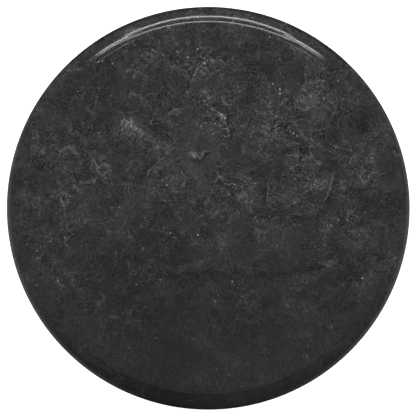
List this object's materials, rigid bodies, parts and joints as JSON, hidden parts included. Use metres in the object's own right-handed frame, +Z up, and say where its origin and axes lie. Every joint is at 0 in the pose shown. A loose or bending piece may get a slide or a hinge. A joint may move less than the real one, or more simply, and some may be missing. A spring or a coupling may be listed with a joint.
{
  "type": "round pedestal table",
  "caption": "Round table with a moulded black stone top on a central column, a domed round base and screw-adjusted levelling feet.",
  "frame": {"origin": "on the floor under the centre of the table, level with the soles of the feet", "axes": "+Z up along the column; the front is -Y and +X is to the right seen from the front"},
  "size_m": [0.7, 0.7, 0.74],
  "materials": {
    "black_stone": "polished, black with faint grey clouds, fine pale veins and small white flecks",
    "birch_plywood": "sanded and sealed birch plywood with its plies showing at the edge",
    "black_cast_iron": "cast iron under satin black powder coat with a fine cast texture",
    "black_powder_coat": "satin black powder coat on steel",
    "zinc_steel": "bright zinc plating",
    "brass": "machined brass",
    "black_nylon": "moulded black nylon"
  },
  "bodies": {
    "pedestal": {"stone_top": "black_stone", "sub_top": "birch_plywood", "thread_insert_1": "brass", "thread_insert_2": "brass", "thread_insert_3": "brass", "thread_insert_4": "brass", "thread_insert_5": "brass", "thread_insert_6": "brass", "thread_insert_7": "brass", "thread_insert_8": "brass", "top_screw_1": "zinc_steel", "top_screw_2": "zinc_steel", "top_screw_3": "zinc_steel", "top_screw_4": "zinc_steel", "top_screw_5": "zinc_steel", "top_screw_6": "zinc_steel", "top_screw_7": "zinc_steel", "top_screw_8": "zinc_steel", "spider": "black_cast_iron", "upper_collar": "black_powder_coat", "collar_grub_screw": "zinc_steel", "column_tube": "black_powder_coat", "tie_rod": "zinc_steel", "lower_collar": "black_powder_coat", "base_casting": "black_cast_iron", "base_washer": "zinc_steel", "spring_washer": "zinc_steel", "tie_rod_nut": "zinc_steel"},
    "pad_back_right": {"foot_pad_back_right": "black_nylon"},
    "stud_back_right": {"foot_stud_back_right": "zinc_steel"},
    "pad_back_left": {"foot_pad_back_left": "black_nylon"},
    "stud_back_left": {"foot_stud_back_left": "zinc_steel"},
    "pad_front_left": {"foot_pad_front_left": "black_nylon"},
    "stud_front_left": {"foot_stud_front_left": "zinc_steel"},
    "pad_front_right": {"foot_pad_front_right": "black_nylon"},
    "stud_front_right": {"foot_stud_front_right": "zinc_steel"}
  },
  "joints": [
    {"name": "foot_travel_back_right", "type": "slide", "parent": "pedestal", "child": "pad_back_right", "axis": [0, 0, -1], "range_m": [0, 0.01]},
    {"name": "foot_screw_back_right", "type": "hinge", "parent": "pad_back_right", "child": "stud_back_right", "pos_m": [0.12021, 0.12021, 0], "axis": [0, 0, -1], "range_deg": [0, 2880]},
    {"name": "foot_travel_back_left", "type": "slide", "parent": "pedestal", "child": "pad_back_left", "axis": [0, 0, -1], "range_m": [0, 0.01]},
    {"name": "foot_screw_back_left", "type": "hinge", "parent": "pad_back_left", "child": "stud_back_left", "pos_m": [-0.12021, 0.12021, 0], "axis": [0, 0, -1], "range_deg": [0, 2880]},
    {"name": "foot_travel_front_left", "type": "slide", "parent": "pedestal", "child": "pad_front_left", "axis": [0, 0, -1], "range_m": [0, 0.01]},
    {"name": "foot_screw_front_left", "type": "hinge", "parent": "pad_front_left", "child": "stud_front_left", "pos_m": [-0.12021, -0.12021, 0], "axis": [0, 0, -1], "range_deg": [0, 2880]},
    {"name": "foot_travel_front_right", "type": "slide", "parent": "pedestal", "child": "pad_front_right", "axis": [0, 0, -1], "range_m": [0, 0.01]},
    {"name": "foot_screw_front_right", "type": "hinge", "parent": "pad_front_right", "child": "stud_front_right", "pos_m": [0.12021, -0.12021, 0], "axis": [0, 0, -1], "range_deg": [0, 2880]}
  ],
  "couplings": [
    {"joint": "foot_screw_back_right", "follows": "foot_travel_back_right", "rad_per_m": 5026.5},
    {"joint": "foot_screw_back_left", "follows": "foot_travel_back_left", "rad_per_m": 5026.5},
    {"joint": "foot_screw_front_left", "follows": "foot_travel_front_left", "rad_per_m": 5026.5},
    {"joint": "foot_screw_front_right", "follows": "foot_travel_front_right", "rad_per_m": 5026.5}
  ]
}
